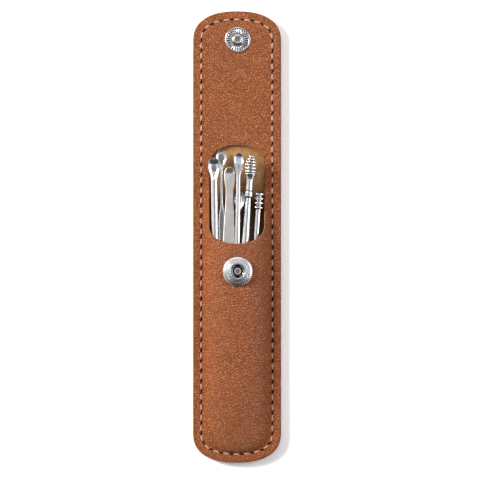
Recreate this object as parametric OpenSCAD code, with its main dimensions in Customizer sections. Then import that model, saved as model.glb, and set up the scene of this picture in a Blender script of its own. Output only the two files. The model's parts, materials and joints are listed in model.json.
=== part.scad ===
// Snap case of grained leather for seven steel ear and skin picks, laid open with its face up.
// The origin is under the middle of the open case. Y runs from the pouch to the flap and Z is up.

/* [Case] */
// Length of the open case
case_len = 177.2; // [160:0.2:220]
// Width of the case
case_w = 34.8; // [34:0.2:44]
// Length of the rounded part at each end
end_len = 11.8; // [9:0.1:15]
// Fullness of the rounded ends, where 2 is an ellipse and more is squarer
end_power = 2.35; // [2:0.05:3]
// Thickness of each leather ply
leather_t = 1.2; // [0.8:0.05:1.5]
// Thickness of the lining cloth
lining_t = 0.3; // [0.2:0.05:0.5]
// Slit between the pouch and the flap, where the case folds
fold_slit = 0.2; // [0.1:0.05:0.4]

/* [Window] */
// Width of the leather rail on each side of the window
rail_w = 6.65; // [6:0.05:8]
// How far the window reaches past the fold, into the flap
window_past_fold = 4; // [2:0.1:6]
// Length of the window
window_len = 38.5; // [34:0.1:44]
// Length of the window's rounded top
window_top_len = 8.65; // [7:0.05:11]
// Length of the window's rounded bottom, which is the pocket's mouth
window_bottom_len = 7.1; // [6:0.1:9]
// Fullness of the window's rounded ends
window_power = 2.2; // [2:0.05:2.6]

/* [Pocket] */
// Height of the pocket inside, at its mouth
pocket_h = 6.1; // [6:0.1:7.5]
// Width of the flat rim on each side of the pocket's bulge
rim_w = 4.2; // [4:0.1:5]
// Fullness of the pocket's cross-section
pocket_power = 2.7; // [2.3:0.1:3]

/* [Seam] */
// Distance from the case's edge to the seam
seam_inset = 3.5; // [3:0.1:3.7]
// Distance from one stitch to the next
stitch_pitch = 4.05; // [3:0.05:6]
// Length of the thread that shows in one stitch
stitch_len = 2.7; // [2:0.1:3.5]
// Diameter of the sewing thread
thread_d = 0.6; // [0.4:0.05:0.8]

/* [Snap] */
// Sideways place of the snap
snap_x = 0.4; // [0:0.1:1]
// Distance from the flap's end to the middle of the stud
stud_inset = 11.45; // [10:0.05:14]
// Distance from the flap's end to the fold
flap_len = 56.7; // [52:0.1:62]
// Diameter of the stud's flange
stud_d = 10; // [9:0.1:12]
// Diameter of the stud's knob
knob_d = 3.5; // [3:0.05:4.2]
// Diameter of the socket
socket_d = 11.9; // [11:0.1:14.5]
// Height of the socket
socket_h = 2; // [1.8:0.05:2.4]
// Free space between the stud's flange and the socket when they are shut
snap_gap = 0.25; // [0.15:0.05:0.4]
// Number of flutes round the stud
stud_flutes = 26; // [16:1:32]
// Number of teeth round the socket
socket_teeth = 40; // [24:1:48]

/* [Picks] */
// Width of the wide spoon's bowl
wide_spoon_w = 4.8; // [4.2:0.1:5]
// Diameter of the wide spoon's shaft
wide_spoon_d = 2.7; // [2.2:0.05:2.8]
// Width of the long spoon's bowl
long_spoon_w = 4.4; // [4:0.1:4.8]
// Width of the spatula's blade
spatula_w = 4.25; // [3.6:0.05:4.5]
// Thickness of the flat handles
flat_t = 1; // [0.8:0.05:1.1]
// Width of the small spoon's bowl
small_spoon_w = 4.1; // [3.6:0.1:4.4]
// Width of the short spoon's bowl
short_spoon_w = 4.2; // [3.6:0.1:4.4]
// Diameter of the ribbed ball
ball_d = 4.85; // [4.2:0.05:4.9]
// Diameter of the rings on the ringed pick
ring_d = 3.9; // [3.2:0.05:4]
// Diameter of the ringed pick's shaft
ringed_shaft_d = 2.35; // [2:0.05:2.5]

/* [Hidden] */
$fn = 48;

// Places along the case
case_end = case_len / 2;
fold_y = case_end - flap_len;
stud_y = case_end - stud_inset;
socket_y = 2 * fold_y - stud_y;
window_top = fold_y + window_past_fold;
mouth_y = window_top - window_len;
window_w = case_w - 2 * rail_w;
seam_bottom = seam_inset - case_end;

// Levels above the table
lining_z = leather_t;
inside_z = leather_t + lining_t;
face_z = inside_z + leather_t;

// Bulge of the pocket: it keeps its full height from plateau_y to lift_y
bulge_w = case_w - 2 * rim_w;
plateau_y = socket_y - 7;
lift_y = mouth_y + 5;
flat_y = fold_y - 4;
bulge_bottom = rim_w - case_end;
slope_power = 2.4;

// Snap: both halves are pressed into the leather, and the pocket's top sets their height
stud_sink = 0.2;
socket_sink = 0.4;
stud_flange_t = 0.45;
post_d = 2.2;
post_plate_t = 0.3;
post_plate_d = stud_d - 1;
post_roll = 0.25;
socket_floor_t = 0.2;
fit = 0.05;
stud_z = face_z - stud_sink;
socket_z = face_z + pocket_h - socket_sink;
fold_z = (socket_z + socket_h + snap_gap + stud_z + stud_flange_t) / 2;
knob_h = socket_h + snap_gap + stud_flange_t - socket_floor_t - post_roll - snap_gap / 2;
hole_d = knob_d + 1.6;
spring_d = knob_d + 0.95;
spring_wire = 0.35;

// Each pick lies on a straight line: [x at the pocket's bottom seam, x at the fold, height at that seam,
// height at the mouth, how far its tip is past the fold, how far its end is from the bottom seam].
// The x values are shares of half the window's width, the heights are above the lining, and the last
// value is a share of the pocket's length from that seam to the fold.
WIDE_SPOON = [-0.6836, -0.826, 1.15, 3.3218, -1.03, 0.1453];
LONG_SPOON = [-0.463, -0.558, 0.7, 1.8987, 1.9, 0.07692];
SPATULA = [-0.3777, -0.242, 2.4, 3.4577, -4.7, 0.19658];
SMALL_SPOON = [-0.0794, 0.08, 3.55, 4.8545, 0.65, 0.21368];
RIBBED_BALL = [-0.2223, 0.534, 0.35, 4.1365, -0.4, 0.16239];
RINGED = [0.2078, 0.903, 1.2, 2.7513, -14.9, 0.07692];
SHORT_SPOON = [-0.3492, 0.19, 0.6, 2.3346, -14.3, 0.11111];

case_color = [0.62, 0.37, 0.24];
lining_color = [0.64, 0.48, 0.31];
thread_color = [0.72, 0.48, 0.36];
steel_color = [0.80, 0.80, 0.82];

// ---- outlines ----

function signed_power(v, p) = sign(v) * pow(abs(v), p);

// A point on a superellipse, moved inwards along its normal
function end_point(a, half_w, h, power, inset) =
    let (
        x = half_w * signed_power(cos(a), 2 / power),
        y = h * signed_power(sin(a), 2 / power),
        gx = signed_power(x / half_w, power - 1) / half_w,
        gy = signed_power(y / h, power - 1) / h,
        g = norm([gx, gy])
    )
    [x - inset * gx / g, y - inset * gy / g];

// A long outline with a rounded top and bottom, counter-clockwise from the right
function long_oval(half_w, top, top_len, bottom, bottom_len, power, inset = 0, steps = 24) =
    concat(
        [for (i = [0:steps]) end_point(180 * i / steps, half_w, top_len, power, inset) + [0, top - top_len]],
        [for (i = [0:steps])
            end_point(180 + 180 * i / steps, half_w, bottom_len, power, inset) + [0, bottom + bottom_len]]
    );

function case_outline(inset = 0) =
    long_oval(case_w / 2, case_end, end_len, -case_end, end_len, end_power, inset);

function window_outline() =
    long_oval(window_w / 2, window_top, window_top_len, mouth_y, window_bottom_len, window_power);

// ---- leather and lining ----

// The pouch's side of the fold
module pouch_side() {
    translate([-case_w, -case_len, -1]) cube([2 * case_w, case_len + fold_y - fold_slit / 2, 20]);
}

// The flap's side of the fold
module flap_side() {
    translate([-case_w, fold_y + fold_slit / 2, -1]) cube([2 * case_w, case_len, 20]);
}

module sheet(z, t, inset = 0) {
    translate([0, 0, z]) linear_extrude(t) polygon(case_outline(inset));
}

module window_cut() {
    translate([0, 0, lining_z]) linear_extrude(20) polygon(window_outline());
}

module pouch_back_panel() {
    color(case_color) intersection() {
        sheet(0, leather_t);
        pouch_side();
    }
}

module pouch_lining() {
    color(lining_color) intersection() {
        sheet(lining_z, lining_t, 0.3);
        pouch_side();
    }
}

module flap_back_panel() {
    color(case_color) difference() {
        intersection() {
            sheet(0, leather_t);
            flap_side();
        }
        translate([snap_x, stud_y, -1]) cylinder(d = post_d + 2 * fit, h = leather_t + 2);
        translate([snap_x, stud_y, -1]) cylinder(d = post_plate_d + 2 * fit, h = 1 + post_plate_t);
    }
}

module flap_lining() {
    color(lining_color) difference() {
        intersection() {
            sheet(lining_z, lining_t, 0.3);
            flap_side();
        }
        translate([snap_x, stud_y, 0]) cylinder(d = post_d + 2 * fit, h = face_z);
    }
}

module flap_front_panel() {
    color(case_color) difference() {
        intersection() {
            sheet(inside_z, leather_t);
            flap_side();
        }
        window_cut();
        translate([snap_x, stud_y, 0]) cylinder(d = post_d + 2 * fit, h = face_z + 1);
        translate([snap_x, stud_y, stud_z]) cylinder(d = stud_d + 2 * fit, h = leather_t);
    }
}

// ---- the front ply of the pouch, which bulges over the picks ----

// Height of the pocket inside, along the middle of the case
function pocket_height(y) =
    y < plateau_y
        ? let (t = min(1, (plateau_y - y) / (plateau_y - bulge_bottom)))
            pocket_h * sqrt(1 - pow(t, slope_power))
        : y < lift_y
            ? pocket_h
            : let (t = min(1, (y - lift_y) / (flat_y - lift_y)))
                pocket_h * (1 - t * t * (3 - 2 * t));

// Half the width of an outline that lies inset inside the case's edge
function half_width(y, inset) =
    let (
        start = end_len - case_end,
        t = min(1, max(0, (start - y) / (end_len - inset)))
    )
    (case_w / 2 - inset) * pow(1 - pow(t, end_power), 1 / end_power);

function pocket_section(x, half_w) =
    half_w <= 0 || abs(x) >= half_w ? 0 : pow(1 - pow(abs(x) / half_w, pocket_power), 1 / pocket_power);

function outside_z(x, y) =
    inside_z + max(leather_t, (pocket_height(y) + leather_t) * pocket_section(x, half_width(y, rim_w)));

function under_z(x, y) =
    inside_z + pocket_height(y) * pocket_section(x, half_width(y, rim_w + leather_t));

// Rows of the ply from the bottom end to the fold, and places across each row
end_rows = [for (a = [5:10:85]) (end_len - case_end) - end_len * pow(cos(a), 2 / end_power)];
long_rows = 22;
row_start = end_len - case_end;
row_step = (fold_y - fold_slit / 2 - row_start) / long_rows;
ROWS = concat(end_rows, [for (i = [0:long_rows]) row_start + i * row_step]);
cross_steps = 8;

function row_x(y, inset) =
    let (half_w = half_width(y, inset), edge = half_width(y, 0))
    concat(
        [-edge],
        [for (k = [-cross_steps:cross_steps]) max(half_w, edge * 0.2) * sin(90 * k / cross_steps)],
        [edge]
    );

module front_ply() {
    top = [for (y = ROWS) for (x = row_x(y, rim_w)) [x, y, outside_z(x, y)]];
    under = [for (y = ROWS) for (x = row_x(y, rim_w + leather_t)) [x, y, under_z(x, y)]];
    columns = 2 * cross_steps + 3;
    rows = len(ROWS);
    base = rows * columns;
    function at(i, j) = i * columns + j;
    polyhedron(
        points = concat(top, under),
        faces = concat(
            [for (i = [0:rows - 2]) for (j = [0:columns - 2]) [at(i, j), at(i + 1, j), at(i + 1, j + 1)]],
            [for (i = [0:rows - 2]) for (j = [0:columns - 2]) [at(i, j), at(i + 1, j + 1), at(i, j + 1)]],
            [for (i = [0:rows - 2]) for (j = [0:columns - 2])
                [base + at(i + 1, j + 1), base + at(i + 1, j), base + at(i, j)]],
            [for (i = [0:rows - 2]) for (j = [0:columns - 2])
                [base + at(i, j + 1), base + at(i + 1, j + 1), base + at(i, j)]],
            [for (i = [0:rows - 2]) [at(i + 1, 0), at(i, 0), base + at(i, 0), base + at(i + 1, 0)]],
            [for (i = [0:rows - 2])
                [at(i, columns - 1), at(i + 1, columns - 1), base + at(i + 1, columns - 1), base + at(i, columns - 1)]],
            [concat([for (j = [0:columns - 1]) at(0, j)], [for (j = [columns - 1:-1:0]) base + at(0, j)])],
            [concat(
                [for (j = [columns - 1:-1:0]) at(rows - 1, j)],
                [for (j = [0:columns - 1]) base + at(rows - 1, j)]
            )]
        )
    );
}

// The ply with its window and the seats of the socket, held to the case's width
module pouch_front_panel() {
    color(case_color) resize([case_w, 0, 0]) difference() {
        front_ply();
        window_cut();
        translate([snap_x, socket_y, socket_z]) cylinder(d = socket_d + 2 * fit, h = 5);
        translate([snap_x, socket_y, 0]) cylinder(d = post_d + 2 * fit, h = 20);
        translate([snap_x, socket_y, inside_z + 1])
            cylinder(d = post_plate_d + 2 * fit, h = pocket_h - 1 + 0.15);
    }
}

// ---- seam ----

SEAM = case_outline(seam_inset);
seam_points = len(SEAM);
function seam_end(i) = SEAM[(i + 1) % seam_points];
function lengths(i = 0, total = 0) =
    i == seam_points ? [total] : concat([total], lengths(i + 1, total + norm(seam_end(i) - SEAM[i])));
SEAM_AT = lengths();
seam_len = SEAM_AT[seam_points];
stitches = round(seam_len / stitch_pitch);

// Middle and direction of each stitch: [x, y, angle]
STITCHES = [
    for (k = [0:stitches - 1])
        let (s = (k + 0.5) * seam_len / stitches)
            for (i = [0:seam_points - 1])
                if (SEAM_AT[i] <= s && s < SEAM_AT[i + 1])
                    let (d = seam_end(i) - SEAM[i], t = (s - SEAM_AT[i]) / norm(d), p = SEAM[i] + t * d)
                        [p[0], p[1], atan2(d[1], d[0])]
];

// One stitch: a length of thread that thins where it goes into the leather
module stitch() {
    rotate([0, 90, 0]) rotate_extrude($fn = 16) polygon([
        [0, -stitch_len / 2],
        [thread_d / 2, -stitch_len / 4],
        [thread_d / 2, stitch_len / 4],
        [0, stitch_len / 2]
    ]);
}

// The stitches on one side of the fold, with side -1 for the pouch and 1 for the flap
module seam(z, side) {
    for (s = STITCHES)
        if (side * (s[1] - fold_y) > 0)
            translate([s[0], s[1] + side * max(0, stitch_len / 2 + fold_slit - abs(s[1] - fold_y)), z])
                rotate([0, 0, s[2]]) stitch();
}

module pouch_top_thread() {
    color(thread_color) seam(face_z - thread_d / 6, -1);
}

module pouch_bobbin_thread() {
    color(thread_color) seam(thread_d / 2, -1);
}

module flap_top_thread() {
    color(thread_color) seam(face_z - thread_d / 6, 1);
}

module flap_bobbin_thread() {
    color(thread_color) seam(thread_d / 2, 1);
}

// ---- snap ----

module snap_stud() {
    r = stud_d / 2;
    k = knob_d / 2;
    color(steel_color) translate([snap_x, stud_y, stud_z]) {
        difference() {
            rotate_extrude() polygon([
                [0, 0],
                [r, 0],
                [r, stud_flange_t * 0.6],
                [r - 0.15, stud_flange_t],
                [r - 0.45, stud_flange_t],
                [r - 0.6, stud_flange_t * 0.6],
                [k + 1.2, stud_flange_t * 0.7],
                [k + 0.5, stud_flange_t],
                [k - 0.1, knob_h * 0.35],
                [k - 0.25, knob_h * 0.5],
                [k, knob_h * 0.72],
                [k - 0.1, knob_h * 0.88],
                [k - 0.5, knob_h],
                [0, knob_h]
            ]);
            translate([0, 0, -1]) cylinder(d = post_d + 2 * fit, h = 1 + knob_h * 0.7);
        }
        for (i = [0:stud_flutes - 1])
            rotate([0, 0, 360 * i / stud_flutes])
                translate([k + 1.3, 0, stud_flange_t * 0.65])
                    rotate([0, 90, 0]) cylinder(d = 0.3, h = r - 0.6 - k - 1.3, $fn = 16);
    }
}

module stud_post() {
    color(steel_color) translate([snap_x, stud_y, 0]) {
        cylinder(d = post_plate_d, h = post_plate_t);
        cylinder(d = post_d, h = stud_z + knob_h * 0.6);
    }
}

module snap_socket() {
    r = socket_d / 2;
    h = hole_d / 2;
    color(steel_color) translate([snap_x, socket_y, socket_z]) {
        rotate_extrude() polygon([
            [post_d / 2 + fit, 0],
            [r - 0.2, 0],
            [r - 0.2, 0.55],
            [r - 0.5, 0.75],
            [r - 0.75, socket_h - 0.25],
            [r - 1.1, socket_h],
            [h + 0.2, socket_h],
            [h, socket_h - 0.15],
            [h, socket_h - 0.4],
            [h + 0.55, socket_h - 0.6],
            [h + 0.55, socket_floor_t + 0.3],
            [h + 0.1, socket_floor_t],
            [post_d / 2 + fit, socket_floor_t]
        ]);
        for (i = [0:socket_teeth - 1])
            rotate([0, 0, 360 * i / socket_teeth])
                translate([r - 0.25, 0, 0]) cylinder(d = 0.5, h = 0.55, $fn = 16);
    }
}

// Two arcs of wire that grip the knob
module socket_spring() {
    color(steel_color) translate([snap_x, socket_y, socket_z + socket_h / 2 + 0.1]) difference() {
        rotate_extrude() translate([spring_d / 2, 0]) circle(d = spring_wire, $fn = 16);
        translate([-0.8, -hole_d, -1]) cube([1.6, 2 * hole_d, 2]);
    }
}

module socket_post() {
    plate_z = inside_z + pocket_h + 0.15 - post_plate_t;
    color(steel_color) translate([snap_x, socket_y, plate_z]) {
        cylinder(d = post_plate_d, h = post_plate_t);
        difference() {
            cylinder(d = post_d, h = socket_z + socket_floor_t - plate_z);
            translate([0, 0, post_plate_t]) cylinder(d = post_d - 0.8, h = 5);
        }
        translate([0, 0, socket_z + socket_floor_t - plate_z]) rotate_extrude() polygon([
            [post_d / 2 - 0.4, 0],
            [post_d / 2 + 0.35, 0],
            [post_d / 2 + 0.25, post_roll * 0.8],
            [post_d / 2, post_roll],
            [post_d / 2 - 0.3, post_roll * 0.8],
            [post_d / 2 - 0.4, 0]
        ]);
    }
}

// ---- picks: each is made along +Y with its end at 0, then laid on its line ----

function pick_end(p) = seam_bottom + p[5] * (fold_y - seam_bottom);
function pick_x(p, y) = window_w / 2 * (p[1] + (p[1] - p[0]) * (y - fold_y) / (fold_y - seam_bottom));
function pick_slope(p) = (p[3] - p[2]) / (mouth_y - seam_bottom);
function pick_z(p, y) = inside_z + p[3] + pick_slope(p) * (y - mouth_y);
function pick_lean(p) = -atan(window_w / 2 * (p[1] - p[0]) / (fold_y - seam_bottom));
function pick_tilt(p) = atan(pick_slope(p) * cos(pick_lean(p)));
function pick_len(p) = (fold_y + p[4] - pick_end(p)) / (cos(pick_lean(p)) * cos(pick_tilt(p)));

module lay(p) {
    translate([pick_x(p, pick_end(p)), pick_end(p), pick_z(p, pick_end(p))])
        rotate([pick_tilt(p), 0, pick_lean(p)]) children();
}

// A piece turned about the Y axis, from [radius, y] points
module turned(points) {
    rotate([-90, 0, 0]) rotate_extrude() polygon(points);
}

// A round shaft from y0 to y1 with a domed end at y0
module shaft(y0, y1, d0, d1) {
    turned([
        [0, y0],
        [d0 * 0.25, y0 + d0 * 0.06],
        [d0 * 0.43, y0 + d0 * 0.25],
        [d0 / 2, y0 + d0 * 0.5],
        [d1 / 2, y1],
        [0, y1]
    ]);
}

// Outline of a spoon's bowl: tip at y = 0, widest at a share of its length, down to its neck
function bowl_half(t, w, neck, widest) =
    t < widest
        ? w / 2 * sqrt(1 - pow(1 - t / widest, 2))
        : neck / 2 + (w - neck) / 4 * (1 + cos(180 * (t - widest) / (1 - widest)));

function bowl_outline(w, l, neck, widest, steps = 20) = concat(
    [for (i = [0:steps]) let (t = pow(i / steps, 1.5)) [bowl_half(t, w, neck, widest), -t * l]],
    [for (i = [steps:-1:1]) let (t = pow(i / steps, 1.5)) [-bowl_half(t, w, neck, widest), -t * l]]
);

// A spoon's bowl, hollow from above, with its tip at y = 0
module bowl(w, l, neck, widest = 0.32, depth = 0.7, rim = 0.45, wall = 0.3) {
    drop = depth + rim - wall;
    out_r = (pow(w / 2, 2) + pow(depth + rim, 2)) / (2 * (depth + rim));
    in_r = out_r - wall * 0.6;
    reach = l * 0.46;
    long_r = (pow(reach, 2) + pow(drop, 2)) / (2 * drop);
    difference() {
        intersection() {
            translate([0, 0, -depth]) linear_extrude(depth + rim) polygon(bowl_outline(w, l, neck, widest));
            translate([0, 1, out_r - depth]) rotate([90, 0, 0]) cylinder(r = out_r, h = l + 2, $fn = 64);
        }
        translate([0, -l * 0.44, wall - depth + long_r]) rotate([0, 90, 0])
            rotate_extrude($fn = 96) translate([long_r - in_r, 0]) circle(r = in_r);
    }
}

module wide_spoon() {
    l = pick_len(WIDE_SPOON);
    color(steel_color) lay(WIDE_SPOON) {
        shaft(0, l - 7.6, wide_spoon_d, wide_spoon_d);
        translate([0, l, 0]) bowl(wide_spoon_w, 8.4, wide_spoon_d * 0.92, 0.34, 0.75, 0.45);
    }
}

// Flat handle with rounded ends: [half-width, y] points up one side
module flat_bar(points, t) {
    n = len(points);
    translate([0, 0, -t / 2]) linear_extrude(t) polygon(concat(
        points,
        [for (i = [n - 1:-1:0]) [-points[i][0], points[i][1]]]
    ));
}

module long_spoon() {
    l = pick_len(LONG_SPOON);
    color(steel_color) lay(LONG_SPOON) {
        flat_bar([[0.4, 0], [0.9, 0.6], [0.95, 30], [1.2, 62], [1.25, l - 28], [1.1, l - 25.5], [0.6, l - 22.5]],
            flat_t);
        shaft(l - 23.5, l - 7, 1.2, 1.2);
        translate([0, l, 0]) bowl(long_spoon_w, 8, 1.1, 0.36, 0.6, 0.4);
    }
}

module spatula() {
    l = pick_len(SPATULA);
    w = spatula_w / 2;
    color(steel_color) lay(SPATULA) difference() {
        flat_bar([
            [0.8, 0],
            [1.5, 0.7],
            [1.6, 10],
            [1.8, 25],
            [2.3, l - 36],
            [2.3, l - 30],
            [2.1, l - 24],
            [1.75, l - 17],
            [1.48, l - 12],
            [1.45, l - 9],
            [w * 0.82, l - 7],
            [w * 0.97, l - 5],
            [w, l - 3.4],
            [w * 0.95, l - 2],
            [w * 0.76, l - 0.8],
            [w * 0.45, l - 0.15],
            [0, l]
        ], flat_t);
        translate([-5, l - 1.9, 1.8]) rotate([0, 90, 0]) cylinder(r = 1.9, h = 10);
    }
}

module small_spoon() {
    l = pick_len(SMALL_SPOON);
    color(steel_color) lay(SMALL_SPOON) {
        shaft(0, l - 26, 1.6, 1.85);
        shaft(l - 27, l - 6, 1.85, 1.6);
        translate([0, l, 0]) bowl(small_spoon_w, 9.5, 1.6, 0.24, 0.6, 0.4);
    }
}

module short_spoon() {
    l = pick_len(SHORT_SPOON);
    color(steel_color) lay(SHORT_SPOON) {
        shaft(0, l - 7, 1.3, 1.3);
        translate([0, l, 0]) bowl(short_spoon_w, 8.2, 1.2, 0.42, 0.6, 0.4);
    }
}

// Ribs of the ball, from the tip: [share of the full diameter, distance from the tip]
RIBS = [[0.6, 1.1], [0.76, 1.85], [0.9, 2.65], [0.97, 3.55], [0.99, 4.7], [1, 5.85]];

module ribbed_ball_pick() {
    l = pick_len(RIBBED_BALL);
    r = ball_d / 2;
    color(steel_color) lay(RIBBED_BALL) turned(concat(
        [
            [0, 0],
            [0.5, 0.1],
            [0.9, 0.6],
            [1, 1.2],
            [1.2, 44],
            [1.55, l - 44],
            [1.55, l - 33.5],
            [0.88, l - 16.6],
            [0.82, l - 16.3],
            [1.3, l - 16.1],
            [1.48, l - 15.8],
            [1.48, l - 14.1],
            [1.3, l - 13.85],
            [1.1, l - 13.75],
            [1.1, l - 13.55],
            [1.4, l - 13.45],
            [1.32, l - 11],
            [1.36, l - 9],
            [1.6, l - 8.2],
            [2.15, l - 7],
            [2.28, l - 6.5],
            [1.3, l - 6.4]
        ],
        [for (i = [len(RIBS) - 1:-1:0]) for (p = [[0.55, 0.22], [1, 0.1], [1, -0.1], [0.55, -0.22]])
            [r * RIBS[i][0] * p[0], l - RIBS[i][1] - p[1]]],
        [[0.75, l - 0.75], [1.15, l - 0.7], [0.9, l - 0.25], [0.45, l - 0.05], [0, l]]
    ));
}

// Places of the rings, from the tip
RINGS = [0.3, 2.15, 3.85, 5.55];

module ringed_pick() {
    l = pick_len(RINGED);
    s = ringed_shaft_d / 2;
    r = ring_d / 2;
    color(steel_color) lay(RINGED) turned(concat(
        [
            [0, 0],
            [0.6, 0.1],
            [1, 0.5],
            [s, 1.2],
            [s, l - 6.3]
        ],
        [for (i = [len(RINGS) - 1:-1:0])
            for (p = [[s * 0.95, 0.6], [r * 0.72, 0.3], [r, 0.18], [r, -0.12], [r * 0.72, -0.25], [s * 0.9, -0.6]])
                [p[0], min(l - 0.02 * (p[0] < r ? 0 : 1), l - RINGS[i] - p[1])]],
        [[0, l]]
    ));
}

pouch_back_panel();
pouch_lining();
pouch_front_panel();
pouch_top_thread();
pouch_bobbin_thread();
snap_socket();
socket_spring();
socket_post();
flap_back_panel();
flap_lining();
flap_front_panel();
flap_top_thread();
flap_bobbin_thread();
snap_stud();
stud_post();
wide_spoon();
long_spoon();
spatula();
small_spoon();
ribbed_ball_pick();
ringed_pick();
short_spoon();
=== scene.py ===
import json
import math

import bpy
import numpy as np
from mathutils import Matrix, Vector
from mathutils.geometry import delaunay_2d_cdt


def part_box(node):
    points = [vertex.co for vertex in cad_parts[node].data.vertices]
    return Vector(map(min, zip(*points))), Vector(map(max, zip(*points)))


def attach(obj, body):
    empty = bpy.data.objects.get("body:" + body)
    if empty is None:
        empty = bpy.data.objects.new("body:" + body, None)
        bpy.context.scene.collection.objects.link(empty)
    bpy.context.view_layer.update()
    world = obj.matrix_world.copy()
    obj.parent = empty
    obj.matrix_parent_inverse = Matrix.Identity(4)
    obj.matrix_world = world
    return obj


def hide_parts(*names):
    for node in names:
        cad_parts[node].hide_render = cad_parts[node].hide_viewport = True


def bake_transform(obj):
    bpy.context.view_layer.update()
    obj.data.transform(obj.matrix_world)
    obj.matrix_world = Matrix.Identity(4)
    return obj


# Looks of a long leather snap case with seven steel picks. Lengths are in millimetres, unless a name
# ends in _m, and meshes are turned into metres when they are made.

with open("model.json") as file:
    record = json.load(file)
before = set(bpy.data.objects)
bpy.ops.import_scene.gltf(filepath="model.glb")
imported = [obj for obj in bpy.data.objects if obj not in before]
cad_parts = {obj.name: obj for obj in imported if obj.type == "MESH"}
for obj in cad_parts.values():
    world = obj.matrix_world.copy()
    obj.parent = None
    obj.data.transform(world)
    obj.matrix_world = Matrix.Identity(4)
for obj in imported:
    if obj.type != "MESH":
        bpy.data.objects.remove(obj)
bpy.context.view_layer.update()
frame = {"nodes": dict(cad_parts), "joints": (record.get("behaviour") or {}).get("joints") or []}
NODES = frame["nodes"]
JOINTS = {joint["name"]: joint for joint in frame["joints"]}
MM = 0.001


def box_mm(node):
    """Lowest and highest corner of a CAD node."""
    low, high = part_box(node)
    return np.array(low) / MM, np.array(high) / MM


# Levels and outer sizes, from the CAD nodes
HALF_W = box_mm("pouch_back_panel")[1][0]
CASE_END = box_mm("flap_front_panel")[1][1]
LINING_Z = box_mm("pouch_back_panel")[1][2]
INSIDE_Z = box_mm("pouch_lining")[1][2]
FACE_Z = box_mm("flap_front_panel")[1][2]
LEATHER_T = FACE_Z - INSIDE_Z
POCKET_H = box_mm("pouch_front_panel")[1][2] - FACE_Z
FOLD_Y = JOINTS["flap_fold"]["pos_m"][1] / MM
STUD_LOW, STUD_HIGH = box_mm("snap_stud")
SOCKET_LOW, SOCKET_HIGH = box_mm("snap_socket")

# Outlines
END_LEN = 11.8
END_POWER = 2.35
RAIL_W = 6.65
WINDOW_PAST_FOLD = 4
WINDOW_LEN = 38.5
WINDOW_TOP_LEN = 8.65
WINDOW_BOTTOM_LEN = 7.1
WINDOW_POWER = 2.2
WINDOW_TOP = FOLD_Y + WINDOW_PAST_FOLD
MOUTH_Y = WINDOW_TOP - WINDOW_LEN

# The pocket's bulge
RIM_W = 4.2
PLATEAU_Y = (SOCKET_LOW[1] + SOCKET_HIGH[1]) / 2 - 7
LIFT_Y = MOUTH_Y + 5
FLAT_Y = FOLD_Y - 4
BULGE_BOTTOM = RIM_W - CASE_END
SLOPE_POWER = 2.4
UNDER_POWER = 2.7
BULGE_POWER = 2.05
BULGE_ROOT = 0.53
FOOT_SOFTNESS = 1.5

# Leather edge: the face is cut a little smaller than the back and lies a little to the right of it
EDGE_STEP = 0.17
FACE_SHIFT = np.array([0.13, -0.05])
EDGE_ROUND = 0.45

# Seam
SEAM_INSET = 3.5
STITCH_PITCH = 4.05
THREAD_LEN = 2.65
THREAD_R = 0.3
HOLE_LEN = 1.95
HOLE_W = 0.55
HOLE_TILT = math.radians(-17)
HOLE_DEPTH = 0.6
GROOVE_DEPTH = 0.17
GROOVE_W = 0.42

# The holes that the posts of the snap go through
POST_HOLE_R = 1.13

# Finish of the leather and lining
WINDOW_ROUND = 0.35
BACK_ROUND = 0.35
# Width of the darker band along the cut edge: partly the pressed edge's own tone, partly painted shade where
# the edge rounds over.
EDGE_WEAR_SHADE_WIDTH = 0.35
GRAIN_BUMP_M = 0.00048
# Colour of the pale specks on the grain: painted highlights.
GLINT_SPECK_COLOUR = (0.66, 0.32, 0.19)
LINING_INSET = 0.3
# Painted shade: the lining is darkened deep in the pocket, from here down over this length.
POCKET_SHADE_START = FOLD_Y - 7
POCKET_SHADE_LEN = 11
POCKET_SHADE = 0.85

# Meshing: the least distance between two points, and from a point to a cut edge
POINT_PITCH = 0.11
EDGE_GAP = 0.03

# The stud's ring of flutes and the socket's teeth and dots
FLUTES = 26
FLUTE_INNER = 2.85
FLUTE_RIM_GAP = 0.8
TEETH = 40
DOT_RING = 4.25
DOT_SPREAD = 0.03

WORLD_STRENGTH = 0.7


# ---- meshes ----


def add_mesh(name, points, faces, materials, sharp_deg):
    """A smooth-shaded object from points in millimetres, with edges sharper than an angle left sharp."""
    mesh = bpy.data.meshes.new(name)
    mesh.from_pydata((np.asarray(points, float) * MM).tolist(), [], [[int(i) for i in f] for f in faces])
    mesh.shade_smooth()
    mesh.set_sharp_from_angle(angle=math.radians(sharp_deg))
    piece = bpy.data.objects.new(name, mesh)
    bpy.context.scene.collection.objects.link(piece)
    for material in materials:
        mesh.materials.append(material)
    return piece


def store(piece, name, values):
    """A number for each point, which the piece's material reads."""
    layer = piece.data.attributes.new(name, "FLOAT", "POINT")
    layer.data.foreach_set("value", np.asarray(values, np.float32))


def store_rest(piece):
    """Keeps each point's place at rest, so that the grain stays with the leather when it bends."""
    points = np.zeros(len(piece.data.vertices) * 3, np.float32)
    piece.data.vertices.foreach_get("co", points)
    layer = piece.data.attributes.new("rest_place", "FLOAT_VECTOR", "POINT")
    layer.data.foreach_set("vector", points / MM)


# ---- outlines ----


def oval_end(start_deg, half_w, height, power, inset, steps):
    """Half of a superellipse, moved inwards along its normals."""
    a = np.radians(start_deg + 180 * np.arange(steps + 1) / steps)
    x = half_w * np.sign(np.cos(a)) * np.abs(np.cos(a)) ** (2 / power)
    y = height * np.sign(np.sin(a)) * np.abs(np.sin(a)) ** (2 / power)
    gx = np.sign(x) * np.abs(x / half_w) ** (power - 1) / half_w
    gy = np.sign(y) * np.abs(y / height) ** (power - 1) / height
    g = np.hypot(gx, gy)
    return np.stack([x - inset * gx / g, y - inset * gy / g], 1)


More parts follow.
